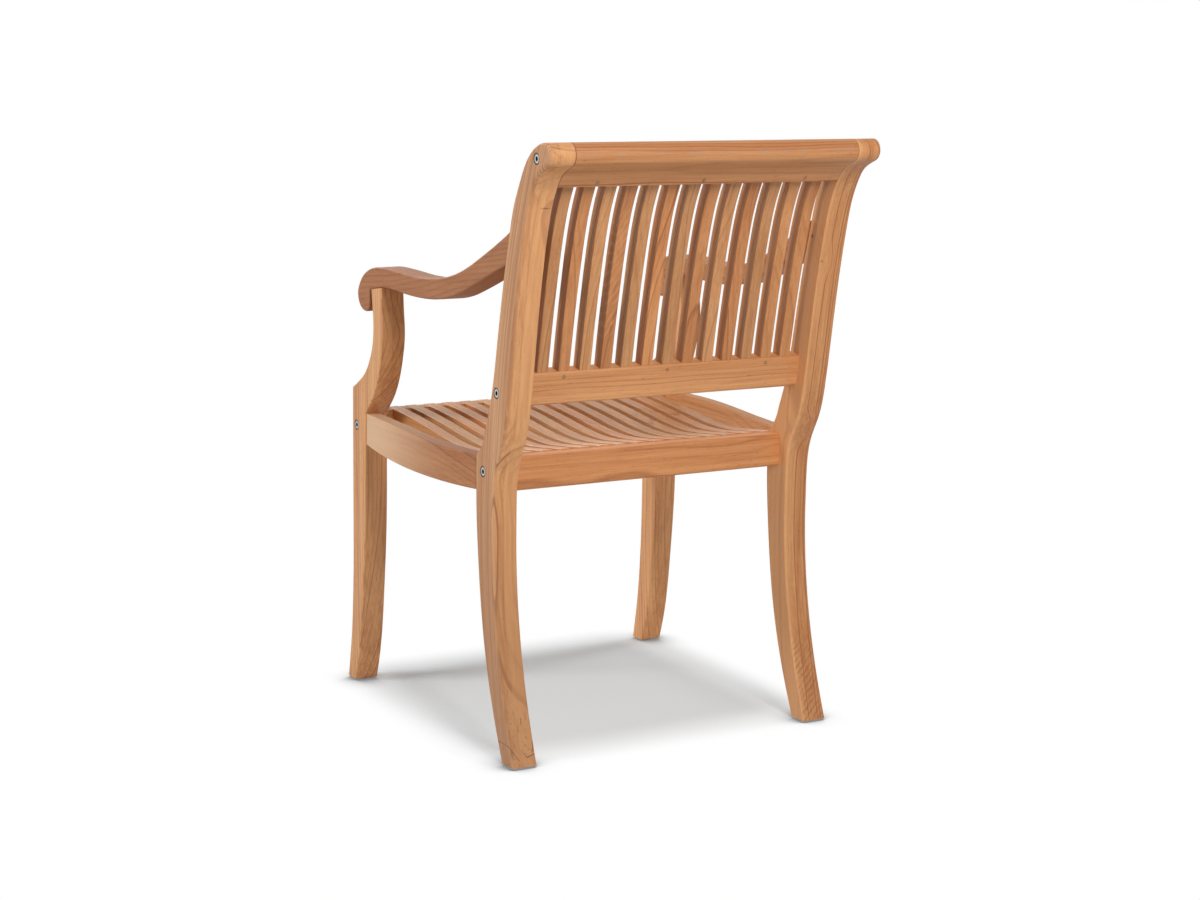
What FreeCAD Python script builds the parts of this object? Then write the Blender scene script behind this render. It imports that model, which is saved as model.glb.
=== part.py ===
import FreeCAD, Part
import Sketcher
import os
from math import cos, radians, sin, tan

from FreeCAD import Placement, Rotation, Vector

# A slatted dining armchair in solid timber, in millimetres.
# X runs across the chair towards the sitter's left, the sitter faces -Y, Z is up and the floor is Z = 0.
# Outlines are drawn in the side view as (y, z) points, with y counted from a datum line through the seat.
# Each piece is then set back by seat_datum, which puts the origin on the floor under the chair's middle.

doc = FreeCAD.newDocument("DiningArmchair")

SIZES = [
    ("seat_datum", -68.5, "set-back of the side view's datum line from the middle of the chair"),
    ("chair_height", 914, "floor to the top of the rolled rail"),
    ("foot_lift", 3, "height of the timber above the floor, on its glides"),
    ("post_inside", 236.8, "half the width between the rear posts"),
    ("post_thick", 40.8, "rear post, across the chair"),
    ("leg_inside", 254.6, "half the width between the front legs"),
    ("leg_thick", 39.1, "front leg, across the chair"),
    ("roll_radius", 17, "roll along the top of the back"),
    ("roll_y", 377, "centre of the roll in the side view"),
    ("arm_width", 42.5, "arm, seen from above"),
    ("arm_front_x", 293.7, "outer face of the arm where it crosses the arm post"),
    ("arm_rear_x", 276.6, "outer face of the arm at the rear post"),
    ("side_rail_thick", 22.5, "side rail, across the chair"),
    ("side_rail_front_x", 291, "outer face of the side rail at the front leg"),
    ("side_rail_rear_x", 277.1, "outer face of the side rail at the rear post"),
    ("side_rail_bow", 12.4, "outward bow of the side rail at its middle"),
    ("lower_rail_height", 50, "lower back rail, up the back"),
    ("lower_rail_thick", 24.5, "lower back rail, through the back"),
    ("lower_rail_lean", 10.6, "lean of the lower back rail in degrees"),
    ("back_slat_count", 13, "slats in the back"),
    ("back_slat_pitch", 35.1, "spacing of the back slats"),
    ("back_slat_width", 18.4, "back slat, across the chair"),
    ("seat_slat_count", 15, "slats in the seat"),
    ("seat_slat_pitch", 32.7, "spacing of the seat slats"),
    ("seat_slat_width", 20, "seat slat, across the chair"),
    ("seat_slat_depth", 20, "seat slat, from its top to its underside"),
    ("tenon_width", 10, "tongues on the rails, slats and arms"),
    ("joint_gap", 0.2, "glue gap round each tongue"),
    ("bolt_head", 16.4, "diameter of a frame bolt's flat head"),
    ("bolt_head_high", 3, "height of a frame bolt's head"),
    ("bolt_shank", 6, "diameter of a frame bolt's shank"),
    ("bolt_long", 85, "length of a frame bolt under its head"),
    ("socket_wide", 5, "hexagon socket, across its flats"),
    ("nut_round", 10, "diameter of a barrel nut"),
    ("nut_long", 12, "length of a barrel nut"),
    ("nut_inset", 42.6, "barrel nut's axis from the end of its rail"),
    ("bore_gap", 0.3, "clearance round bolts and nuts, on the radius"),
    ("dowel_round", 8, "diameter of a locating dowel"),
    ("dowel_long", 30, "length of a locating dowel"),
    ("peg_round", 6.2, "diameter of the pegs that pin the tongues"),
    ("arm_peg_long", 26, "length of the peg through an arm's tongue"),
    ("glide_round", 16, "diameter of a foot glide"),
    ("glide_pin", 2.6, "diameter of a glide's nail"),
    ("glide_pin_long", 16, "length of a glide's nail"),
    ("leg_ease", 2, "rounding of the front legs' long edges"),
    ("arm_ease", 3, "rounding of the arms' edges"),
    ("side_rail_ease", 1.8, "rounding of the side rails' long edges"),
    ("slat_ease", 1.4, "rounding of the slats' long edges"),
]
sheet = doc.addObject("Spreadsheet::Sheet", "Sizes")
for row, (alias, value, meaning) in enumerate(SIZES, start=1):
    sheet.set(f"A{row}", meaning)
    sheet.set(f"B{row}", str(value))
    sheet.setAlias(f"B{row}", alias)
doc.recompute()


def size(alias):
    """A driving dimension, read back from the sheet."""
    return float(sheet.get(alias))


def bind(thing, formulas):
    """Tie properties of a thing to formulas on the sheet."""
    for path, formula in formulas.items():
        thing.setExpression(path, formula)


# Drawing tools


class Pen:
    """Draws a closed outline as a chain of lines, arcs and smooth curves."""

    def __init__(self, *start):
        self.start = Vector(*start)
        self.here = self.start
        self.strokes = []

    def line(self, *end):
        end = Vector(*end)
        self.strokes.append(Part.LineSegment(self.here, end))
        self.here = end
        return self

    def arc(self, through, end):
        end = Vector(*end)
        self.strokes.append(Part.ArcOfCircle(self.here, Vector(*through), end))
        self.here = end
        return self

    def turn(self, corner, towards, radius):
        """A line to the corner, rounded off by the radius on the way towards the next point."""
        corner = Vector(*corner)
        arriving = (corner - self.here).normalize()
        leaving = (Vector(*towards) - corner).normalize()
        half = arriving.getAngle(leaving) / 2
        centre = corner + (leaving - arriving).normalize() * (radius / cos(half))
        middle = centre + (corner - centre).normalize() * radius
        self.line(*(corner - arriving * radius * tan(half)))
        return self.arc(middle, corner + leaving * radius * tan(half))

    def curve(self, points, leave, arrive):
        """A smooth curve on through the points, leaving and arriving in the given directions."""
        self.follow(smooth([self.here, *points], leave, arrive))
        return self

    def follow(self, stroke):
        self.strokes.append(stroke)
        self.here = stroke.EndPoint
        return self

    def close(self):
        self.line(*self.start)
        return self.strokes


def smooth(points, leave, arrive):
    """A smooth curve through all the points, with its end directions given."""
    stroke = Part.BSplineCurve()
    stroke.interpolate(
        Points=[Vector(*point) for point in points],
        InitialTangent=Vector(*leave).normalize(),
        FinalTangent=Vector(*arrive).normalize(),
        Scale=False,
    )
    return stroke


def stretch(stroke, start, end):
    """The part of a smooth curve between two of its points."""
    piece = stroke.copy()
    piece.segment(piece.parameter(Vector(*start)), piece.parameter(Vector(*end)))
    return piece


def box(low_y, low_z, high_y, high_z):
    """A rectangle in the side view."""
    return Pen(low_y, low_z).line(high_y, low_z).line(high_y, high_z).line(low_y, high_z).close()


# Shop tools


def datum_feature(body, role):
    """One of a body's own origin planes or axes."""
    return next(feature for feature in body.Origin.OriginFeatures if feature.Role == role)


def timber(name):
    """An empty body, set back from the side view's datum line."""
    body = doc.addObject("PartDesign::Body", name)
    body.Label = name
    bind(body, {"Placement.Base.y": "Sizes.seat_datum"})
    return body


def draw(body, name, strokes, role, height):
    """A sketch of the strokes, on a plane at a height above one of the body's origin planes."""
    sketch = body.newObject("Sketcher::SketchObject", name)
    sketch.AttachmentSupport = [(datum_feature(body, role), "")]
    sketch.MapMode = "FlatFace"
    bind(sketch, {"AttachmentOffset.Base.z": height})
    sketch.addGeometry(strokes, False)
    sketch.addConstraint([Sketcher.Constraint("Block", index) for index in range(len(strokes))])
    return sketch


def saw_out(body, name, strokes, middle, width):
    """Timber of a side-view outline, with its middle and its width across the chair."""
    pad = body.newObject("PartDesign::Pad", name)
    pad.Profile = draw(body, name + "_outline", strokes, "YZ_Plane", middle)
    pad.SideType = "Symmetric"
    bind(pad, {"Length": width})
    return pad


def cut_away(body, name, strokes, middle, width, role="YZ_Plane"):
    """Waste of an outline, cut away over a width about its middle."""
    pocket = body.newObject("PartDesign::Pocket", name)
    pocket.Profile = draw(body, name + "_outline", strokes, role, middle)
    pocket.SideType = "Symmetric"
    bind(pocket, {"Length": width})
    return pocket


def repeat_across(body, name, feature, count, pitch):
    """The same cut, repeated across the chair."""
    pattern = body.newObject("PartDesign::LinearPattern", name)
    pattern.Originals = [feature]
    pattern.Direction = (datum_feature(body, "X_Axis"), [""])
    bind(pattern, {"Length": f"({count} - 1) * {pitch}", "Occurrences": count})
    body.Tip = pattern
    return pattern


def drill(body, name, mouth, heading, radius, depth):
    """A round hole from its mouth (x as a formula, then y and z) along a heading."""
    hole = body.newObject("PartDesign::SubtractiveCylinder", name)
    hole.Placement = Placement(Vector(0, mouth[1], mouth[2]), Rotation(Vector(0, 0, 1), Vector(*heading)))
    bind(hole, {"Placement.Base.x": mouth[0], "Radius": radius, "Height": depth})
    return hole


def edges_where(shape, test):
    """The names of the edges that pass a test."""
    return [f"Edge{index}" for index, edge in enumerate(shape.Edges, start=1) if test(edge)]


def ease(body, name, feature, test, radius):
    """The edges of a feature that pass a test, rounded over."""
    doc.recompute()
    fillet = body.newObject("PartDesign::Fillet", name)
    fillet.Base = (feature, edges_where(feature.Shape, test))
    bind(fillet, {"Radius": radius})
    return fillet


def is_across(edge):
    """True for a straight edge that runs across the chair."""
    return edge.BoundBox.YLength < 0.01 and edge.BoundBox.ZLength < 0.01


def is_side_edge(edge):
    """True for an edge that lies in a face square to X."""
    return edge.BoundBox.XLength < 0.01


def mirror(source, name):
    """The same piece for the other side of the chair."""
    twin = doc.addObject("Part::Mirroring", name)
    twin.Source = source
    twin.Normal = Vector(1, 0, 0)
    twin.Label = name
    return twin


def group(name, members):
    """Separate solids kept under one name."""
    compound = doc.addObject("Part::Compound", name)
    compound.Links = members
    compound.Label = name
    return compound


UP = (0, 1)
DOWN = (0, -1)
LEFTWARDS = (1, 0, 0)
RIGHTWARDS = (-1, 0, 0)
pieces = []

# Lines that several pieces share, in the side view

foot = size("foot_lift")
top = size("chair_height")
roll = size("roll_radius")
roll_top = (size("roll_y"), top)
roll_rear = (size("roll_y") + roll, top - roll)
roll_slope = radians(65)
roll_end = (size("roll_y") + roll * cos(roll_slope), top - roll - roll * sin(roll_slope))
roll_heading = (-sin(roll_slope), -cos(roll_slope))

arm_seat_low = (263.5, 735)
arm_seat_high = (276.5, 787)
arm_seat_heading = (arm_seat_high[0] - arm_seat_low[0], arm_seat_high[1] - arm_seat_low[1])
top_rail_front = (301.5, 851)
top_rail_rear = (342, 850)
seat_face = 176.5
knee = (231.8, 340)

back_front = smooth(
    [arm_seat_high, (288.4, 825), top_rail_front, (331.2, 894), roll_top], arm_seat_heading, (1, 0)
)
back_rear = smooth(
    [
        roll_end, (366, 873.6), (353, 864.5), top_rail_rear, (327.6, 822), (315.6, 782), (299.7, 708),
        (284.8, 614), (273.5, 538), (258.5, 479), (239, 438), (232.2, 398), knee,
    ],
    roll_heading,
    DOWN,
)
head_front = stretch(back_front, top_rail_front, roll_top)
head_rear = stretch(back_rear, roll_end, top_rail_rear)

post_rear_foot = 301.5
post_front_foot = 267.5
leg_front_foot = -257
leg_rear_foot = -228
leg_front = -236
leg_rear = -187
arm_joint_front = (-163, 656.9)
arm_joint_rear = (-124.5, 662.9)
arm_joint_heading = (arm_joint_front[0] - arm_joint_rear[0], arm_joint_front[1] - arm_joint_rear[1])

lean = radians(size("lower_rail_lean"))
lower_rail_corner = (249, 528)


def on_lower_rail(forward, up):
    """A point of the lower back rail, from its lower rear corner, forward through it and up its lean."""
    return (
        lower_rail_corner[0] - forward * cos(lean) + up * sin(lean),
        lower_rail_corner[1] + forward * sin(lean) + up * cos(lean),
    )


rear_rail_front = 188
rear_rail_rear = 211
rear_rail_top = 447.3
rear_rail_low = 396
front_rail_front = -231
front_rail_rear = -199
front_rail_top = 455.5
front_rail_low = 404

# Where each cross rail is bolted and located at its ends, in the side view
TOP_BOLT = (355.5, 891)
TOP_DOWEL = (328, 868)
LOWER_BOLT = on_lower_rail(12.25, 19.5)
LOWER_DOWEL = on_lower_rail(12, 38)
REAR_BOLT = (199.5, 427.5)
REAR_DOWEL = (199.5, 408.5)
FRONT_BOLT = (-220, 431)
FRONT_DOWEL = (-214, 414)

HEAD_BORE = "Sizes.bolt_head / 2 + Sizes.bore_gap"
SHANK_BORE = "Sizes.bolt_shank / 2 + Sizes.bore_gap"
NUT_BORE = "Sizes.nut_round / 2 + Sizes.joint_gap"
DOWEL_BORE = "Sizes.dowel_round / 2 + Sizes.joint_gap / 2"
DOWEL_DEPTH = "Sizes.dowel_long / 2 + Sizes.joint_gap"
PEG_BORE = "Sizes.peg_round / 2 + Sizes.joint_gap / 2"
TONGUE = "Sizes.tenon_width"
MORTISE = "Sizes.tenon_width + 2 * Sizes.joint_gap"
POST_OUTSIDE = "Sizes.post_inside + Sizes.post_thick"
LEG_OUTSIDE = "Sizes.leg_inside + Sizes.leg_thick"
POST_MIDDLE = "Sizes.post_inside + Sizes.post_thick / 2"
LEG_MIDDLE = "Sizes.leg_inside + Sizes.leg_thick / 2"
gap = size("joint_gap")


def bolt_through(body, name, place, inside, outside):
    """A post's or leg's bore for one frame bolt, with a recess for its head on the outer face."""
    drill(body, name + "_head_recess", (outside, *place), RIGHTWARDS, HEAD_BORE, "Sizes.bolt_head_high")
    drill(body, name + "_bore", (outside, *place), RIGHTWARDS, SHANK_BORE, f"{outside} - ({inside}) + 1")


def dowel_socket(body, name, place, inside, heading=LEFTWARDS):
    """A blind hole for half of a locating dowel."""
    drill(body, name + "_socket", (inside, *place), heading, DOWEL_BORE, DOWEL_DEPTH)


# Rear posts: one sawn timber each, from the sabre foot up to the rolled head

side_tenon_low = 406
side_tenon_high = 440
side_tenon_reach = 17
side_tenon_rear = "Sizes.side_rail_rear_x - Sizes.side_rail_thick / 2"
side_tenon_front = "Sizes.side_rail_front_x - Sizes.side_rail_thick / 2"
arm_tenon_low = 744
arm_tenon_high = 778
arm_tenon_reach = 28
arm_tenon_middle = "Sizes.arm_rear_x - Sizes.arm_width / 2"
arm_peg = (282.6, 763)

post_strokes = {
    "leg_front": smooth(
        [(post_front_foot, foot), (235.8, 75), (201.6, 188), (183.2, 305), (seat_face, 396)],
        (-0.43, 0.9),
        UP,
    ),
    "seat_front": Part.LineSegment(Vector(seat_face, 396), Vector(seat_face, 449.5)),
    "waist_front": smooth(
        [(seat_face, 449.5), (191, 462), (204, 489), (216.3, 521), (236, 602), (249.6, 672.7),
         arm_seat_low],
        (1, 0.8),
        arm_seat_heading,
    ),
    "arm_seat": Part.LineSegment(Vector(*arm_seat_low), Vector(*arm_seat_high)),
    "shoulder_front": stretch(back_front, arm_seat_high, top_rail_front),
    "head_front": head_front,
    "roll": Part.ArcOfCircle(Vector(*roll_top), Vector(*roll_rear), Vector(*roll_end)),
    "head_rear": head_rear,
    "back_rear": stretch(back_rear, top_rail_rear, knee),
    "leg_rear": smooth([knee, (244.4, 197), (275.4, 74), (post_rear_foot, foot)], DOWN, (0.36, -0.93)),
    "foot": Part.LineSegment(Vector(post_rear_foot, foot), Vector(post_front_foot, foot)),
}
post = timber("rear_post_left_sawn")
saw_out(post, "post_timber", list(post_strokes.values()), POST_MIDDLE, "Sizes.post_thick")
cut_away(
    post,
    "side_rail_mortise",
    box(seat_face - 1, side_tenon_low - gap, seat_face + side_tenon_reach + gap, side_tenon_high + gap),
    side_tenon_rear,
    MORTISE,
)
arm_mortise = (
    Pen(arm_seat_low[0] - 5, arm_tenon_low - gap)
    .line(arm_seat_high[0] + arm_tenon_reach - 5 + gap, arm_tenon_low - gap)
    .line(arm_seat_high[0] + arm_tenon_reach - 5 + gap, arm_tenon_high + gap)
    .line(arm_seat_low[0] - 5, arm_tenon_high + gap)
    .close()
)
cut_away(post, "arm_mortise", arm_mortise, arm_tenon_middle, MORTISE)
for rail, place in (("top_rail", TOP_BOLT), ("lower_rail", LOWER_BOLT), ("rear_rail", REAR_BOLT)):
    bolt_through(post, rail + "_bolt", place, "Sizes.post_inside", POST_OUTSIDE)
for rail, place in (("top_rail", TOP_DOWEL), ("lower_rail", LOWER_DOWEL), ("rear_rail", REAR_DOWEL)):
    dowel_socket(post, rail + "_dowel", place, "Sizes.post_inside")
drill(post, "arm_peg_bore", ("Sizes.post_inside - 1", *arm_peg), LEFTWARDS, PEG_BORE,
      "Sizes.arm_peg_long + 1.2")
post_glide = ((post_front_foot + post_rear_foot) / 2 + 1, foot)
drill(post, "glide_nail_bore", (POST_MIDDLE, *post_glide), (0, 0, 1), "Sizes.glide_pin / 2 + 0.1",
      "Sizes.glide_pin_long + 0.5")
doc.recompute()

# The posts' long edges are crisp at the feet, softer up the back and fullest round the end of the roll;
# on the inner face they stay crisp where the top rail lies flush
POST_EASE_OUTSIDE = {
    "leg_front": (2, 3), "seat_front": (3, 3), "waist_front": (3, 3.5), "arm_seat": (3.5, 3.5),
    "shoulder_front": (3.5, 3.5), "head_front": (3.5, 4), "roll": (4, 6), "head_rear": (6, 4.5),
    "back_rear": (4.5, 3.5), "leg_rear": (3.5, 2),
}
POST_EASE_INSIDE = {
    "leg_front": (2, 3), "seat_front": (3, 3), "waist_front": (3, 3), "arm_seat": (3, 3),
    "shoulder_front": (3, 1), "head_front": (1, 1), "roll": (1, 1), "head_rear": (1, 1),
    "back_rear": (1, 3), "leg_rear": (3, 2),
}


def graded_edges(shape, x, strokes, radii):
    """Edge numbers and end radii for the edges at one x that follow the named strokes."""
    found = []
    shift = Vector(0, size("seat_datum"), 0)
    for number, edge in enumerate(shape.Edges, start=1):
        middle = edge.valueAt((edge.FirstParameter + edge.LastParameter) / 2) - shift
        if is_side_edge(edge) and abs(middle.x - x) < 0.01:
            spot = Part.Vertex(Vector(middle.y, middle.z, 0))
            for name, (start, end) in radii.items():
                if strokes[name].toShape().distToShape(spot)[0] < 0.01:
                    found.append((number, float(start), float(end)))
    return found


post_left = doc.addObject("Part::Fillet", "rear_post_left")
post_left.Label = "rear_post_left"
post_left.Base = post
post_inside = size("post_inside")
post_outside = post_inside + size("post_thick")
shoulder = edges_where(post.Shape, lambda edge: is_across(edge) and abs(edge.BoundBox.ZMin - 449.5) < 0.01)
post_left.Edges = (
    graded_edges(post.Shape, post_outside, post_strokes, POST_EASE_OUTSIDE)
    + graded_edges(post.Shape, post_inside, post_strokes, POST_EASE_INSIDE)
    + [(int(name[4:]), 3.0, 3.0) for name in shoulder]
)
pieces += [post_left, mirror(post_left, "rear_post_right")]

# Front legs: each runs on up as the arm post, with a tongue on top for the arm

arm_post_tongue = 16
arm_post_tongue_front = arm_joint_front[0] + 9
arm_post_tongue_rear = arm_joint_rear[0] - 9
leg_outline = (
    Pen(leg_front_foot, foot)
    .curve([(-245.4, 71), (-238.6, 145), (leg_front, 230)], (0.17, 1), UP)
    .line(leg_front, 491)
    .curve(
        [(-212, 504), (-187.6, 521), (-171, 542), (-160.7, 563), (-155.3, 592), (-156.7, 621),
         arm_joint_front],
        (0.9, 0.4),
        (-0.17, 1),
    )
    .line(*arm_joint_rear)
    .curve(
        [(-121.5, 625), (-118.2, 594), (-125.2, 550), (-137.5, 516), (-153, 489.5), (-176, 464.5),
         (leg_rear, 447)],
        (0.09, -1),
        DOWN,
    )
    .line(leg_rear, 380)
    .curve([(-188.8, 265), (-198, 156), (-215.7, 43), (leg_rear_foot, foot)], DOWN, (-0.32, -0.95))
    .close()
)
leg = timber("front_leg_left")
leg_timber = saw_out(leg, "leg_timber", leg_outline, LEG_MIDDLE, "Sizes.leg_thick")


def is_leg_edge(edge):
    """The long edges of a leg and the nose of its shoulder, but not its foot or its top."""
    low_or_flat = edge.BoundBox.ZMax < foot + 0.1
    under_arm = edge.BoundBox.ZMin > arm_joint_front[1] - 0.1
    nose = is_across(edge) and abs(edge.BoundBox.ZMin - 491) < 0.1
    return nose or (is_side_edge(edge) and not low_or_flat and not under_arm)


ease(leg, "leg_ease", leg_timber, is_leg_edge, "Sizes.leg_ease")
saw_out(
    leg,
    "arm_tongue",
    Pen(arm_post_tongue_front, arm_joint_front[1] - 2)
    .line(arm_post_tongue_rear, arm_joint_front[1] - 2)
    .line(arm_post_tongue_rear, arm_joint_rear[1] + arm_post_tongue)
    .line(arm_post_tongue_front, arm_joint_rear[1] + arm_post_tongue)
    .close(),
    LEG_MIDDLE,
    "2 * Sizes.tenon_width",
)
cut_away(
    leg,
    "side_rail_mortise",
    box(leg_rear - side_tenon_reach - gap, side_tenon_low - gap, leg_rear + 1, side_tenon_high + gap),
    side_tenon_front,
    MORTISE,
)
bolt_through(leg, "front_rail_bolt", FRONT_BOLT, "Sizes.leg_inside", LEG_OUTSIDE)
dowel_socket(leg, "front_rail_dowel", FRONT_DOWEL, "Sizes.leg_inside")
leg_glide = ((leg_front_foot + leg_rear_foot) / 2, foot)
drill(leg, "glide_nail_bore", (LEG_MIDDLE, *leg_glide), (0, 0, 1), "Sizes.glide_pin / 2 + 0.1",
      "Sizes.glide_pin_long + 0.5")
pieces += [leg, mirror(leg, "front_leg_right")]

# Arms: sawn to the scroll in the side view, then to a slight skew seen from above

arm_slope = (arm_seat_high[0] - arm_seat_low[0]) / (arm_seat_high[1] - arm_seat_low[1])
arm_rear_low = (arm_seat_low[0] + 1.5 * arm_slope, arm_seat_low[1] + 1.5)
arm_rear_high = (arm_seat_high[0] - 1 * arm_slope, arm_seat_high[1] - 1)
scroll_back = -168.3
scroll_low = (-184, 619.6)
scroll_front = (-211, 646.6)
scroll_radius = scroll_low[0] - scroll_front[0]
scroll_diagonal = scroll_radius * sin(radians(45))
arm_outline = (
    Pen(*arm_rear_low)
    .curve(
        [(218, 718), (180, 702), (142, 687.5), (100, 673.2), (58, 664.8), (0, 660.8), (-59, 662),
         (-100, 664.2), arm_joint_rear],
        (-0.9, -0.38),
        arm_joint_heading,
    )
    .turn((scroll_back, 656.07), (scroll_back, 640), 3)
    .line(scroll_back, 638)
    .curve([(-170.6, 627.2), (-176.8, 621.3), scroll_low], DOWN, (-1, 0))
    .arc((scroll_low[0] - scroll_diagonal, scroll_front[1] - scroll_diagonal), scroll_front)
    .curve(
        [(-205, 662.5), (-192, 676.5), (-167, 689), (-110, 694.4), (-59, 693), (-25, 691.9), (8, 692.5),
         (44, 695), (84, 701.3), (123, 712), (199, 745.4), arm_rear_high],
        UP,
        (0.86, 0.51),
    )
    .close()
)
arm_front_x = size("arm_front_x")
arm_skew = (size("arm_rear_x") - arm_front_x) / (arm_seat_low[0] - arm_joint_front[0])


def arm_outer(y):
    """The x of the arm's outer face at a y of the side view."""
    return arm_front_x + arm_skew * (y - arm_joint_front[0])


arm_blank_front = scroll_front[0] - 5
arm_blank_rear = arm_seat_high[0] + 5
arm_width = size("arm_width")
arm = timber("arm_left")
saw_out(arm, "arm_timber", arm_outline, "Sizes.arm_front_x - Sizes.arm_width / 2",
        "2.5 * Sizes.arm_width")
for name, inset, waste in (("outer_waste", 0, 90), ("inner_waste", arm_width, -90)):
    front_corner = arm_outer(arm_blank_front) - inset
    rear_corner = arm_outer(arm_blank_rear) - inset
    strip = (
        Pen(front_corner, arm_blank_front)
        .line(rear_corner, arm_blank_rear)
        .line(rear_corner + waste, arm_blank_rear)
        .line(front_corner + waste, arm_blank_front)
        .close()
    )
    arm_sawn = cut_away(arm, name, strip, "0", "4 * Sizes.chair_height", "XY_Plane")


def is_arm_edge(edge):
    """The arm's long edges on both faces, all round the scroll, but not its end at the post."""
    middle = edge.valueAt((edge.FirstParameter + edge.LastParameter) / 2)
    depth = arm_outer(middle.y) - middle.x
    on_face = abs(depth) < 0.01 or abs(depth - arm_width) < 0.01
    at_post = edge.BoundBox.YMin > arm_rear_low[0] - 0.1
    return on_face and not at_post


ease(arm, "arm_ease", arm_sawn, is_arm_edge, "Sizes.arm_ease")
arm_tongue = (
    Pen(arm_seat_low[0] - 5, arm_tenon_low)
    .line(arm_seat_high[0] + arm_tenon_reach - 5, arm_tenon_low)
    .line(arm_seat_high[0] + arm_tenon_reach - 5, arm_tenon_high)
    .line(arm_seat_low[0] - 5, arm_tenon_high)
    .close()
)
saw_out(arm, "post_tongue", arm_tongue, arm_tenon_middle, TONGUE)
cut_away(
    arm,
    "arm_post_mortise",
    box(arm_post_tongue_front - gap, arm_joint_front[1] - 4, arm_post_tongue_rear + gap,
        arm_joint_rear[1] + arm_post_tongue + gap),
    LEG_MIDDLE,
    "2 * Sizes.tenon_width + 2 * Sizes.joint_gap",
)
drill(arm, "peg_bore", ("Sizes.post_inside - 1", *arm_peg), LEFTWARDS, PEG_BORE,
      "Sizes.arm_peg_long + 1.2")
pieces += [arm, mirror(arm, "arm_right")]

# Side rails: boards on edge, bowed outwards, tongued into the front leg and the rear post

side_outline = (
    Pen(leg_rear, 403)
    .arc((-5, 394), (seat_face, 396.7))
    .line(seat_face, 449.3)
    .curve([(70, 449.1), (-70, 453.9), (leg_rear, 454.2)], (-1, 0), (-1, 0))
    .close()
)
side_middle_y = (leg_rear + seat_face) / 2
side_bow = size("side_rail_bow")
side = timber("side_rail_left")
saw_out(side, "rail_timber", side_outline, "Sizes.leg_inside + 25", "120")
for name, inset, waste in (("outer_waste", 0, 90), ("inner_waste", size("side_rail_thick"), -90)):
    front_x = size("side_rail_front_x") - inset
    rear_x = size("side_rail_rear_x") - inset
    bowed = (
        Pen(front_x, leg_rear)
        .arc(((front_x + rear_x) / 2 + side_bow, side_middle_y), (rear_x, seat_face))
        .line(rear_x + waste, seat_face)
        .line(front_x + waste, leg_rear)
        .close()
    )
    side_sawn = cut_away(side, name, bowed, "0", "4 * Sizes.chair_height", "XY_Plane")


def is_side_rail_edge(edge):
    """The four long edges of a side rail."""
    return edge.BoundBox.YLength > 300


ease(side, "rail_ease", side_sawn, is_side_rail_edge, "Sizes.side_rail_ease")
for name, start, end, middle in (
    ("front_tongue", leg_rear - side_tenon_reach, leg_rear + 3, side_tenon_front),
    ("rear_tongue", seat_face - 3, seat_face + side_tenon_reach, side_tenon_rear),
):
    saw_out(side, name, box(start, side_tenon_low, end, side_tenon_high), middle, TONGUE)
pieces += [side, mirror(side, "side_rail_right")]

# Cross rails: each is held between its two posts or legs by a bolt and a dowel at either end

RAIL_WIDTH = "2 * Sizes.post_inside"
BACK_SLAT_FIRST = "-(Sizes.back_slat_count - 1) / 2 * Sizes.back_slat_pitch"
SEAT_SLAT_FIRST = "-(Sizes.seat_slat_count - 1) / 2 * Sizes.seat_slat_pitch"


def end_joints(body, inside, bolt, dowel, nut_heading, nut_depth):
    """Bolt bores, barrel nut holes and dowel sockets at both ends of a cross rail."""
    for name, sign, heading in (("left", "", RIGHTWARDS), ("right", "-", LEFTWARDS)):
        end = f"{sign}({inside})"
        nut = f"{sign}({inside} - Sizes.nut_inset)"
        drill(body, name + "_bolt_bore", (end, *bolt), heading, SHANK_BORE, "Sizes.nut_inset + 8")
        mouth = (nut, bolt[0] - nut_heading[0] * nut_depth, bolt[1] - nut_heading[1] * nut_depth)
        drill(body, name + "_nut_bore", mouth, (0, *nut_heading), NUT_BORE,
              f"{nut_depth} + Sizes.nut_long / 2 + Sizes.joint_gap")
        drill(body, name + "_dowel_socket", (end, *dowel), heading, DOWEL_BORE, DOWEL_DEPTH)


back_tongue_reach = 15
slat_top_heading = (sin(radians(27)), cos(radians(27)))
slat_top_front = (303, top_rail_front[1] - 0.1)
slat_top_rear = (326.5, top_rail_rear[1] + 0.4)


def back_slat_tongue(spread):
    """Outlines of a back slat's upper and lower tongues, or of their mortises if spread."""
    upper_front = 309 - spread
    upper_rear = 321 + spread
    reach = back_tongue_reach + spread
    upper = (
        Pen(upper_front, 848.5)
        .line(upper_rear, 848.5)
        .line(upper_rear + slat_top_heading[0] * (reach + 2), 848.5 + slat_top_heading[1] * (reach + 2))
        .line(upper_front + slat_top_heading[0] * (reach + 2), 848.5 + slat_top_heading[1] * (reach + 2))
        .close()
    )
    rail_top = size("lower_rail_height")
    lower = (
        Pen(*on_lower_rail(6 - spread, rail_top + 2))
        .line(*on_lower_rail(18.5 + spread, rail_top + 2))
        .line(*on_lower_rail(18.5 + spread, rail_top - reach))
        .line(*on_lower_rail(6 - spread, rail_top - reach))
        .close()
    )
    return upper, lower


upper_mortise, lower_mortise = back_slat_tongue(gap)
upper_tongue, lower_tongue = back_slat_tongue(0)
PEGGED_SLATS = (-5, 0, 5)
top_peg_height = 856
lower_peg_up = 42


def peg_bores(body, name, mouth_y, mouth_z, heading, depth):
    """Bores for the three pegs of a back rail or, one at a time, of a slat's tongue."""
    for number, slat in enumerate(PEGGED_SLATS, start=1):
        mouth = (f"{slat} * Sizes.back_slat_pitch", mouth_y, mouth_z)
        drill(body, f"{name}_{number}", mouth, heading, PEG_BORE, depth)


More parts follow.
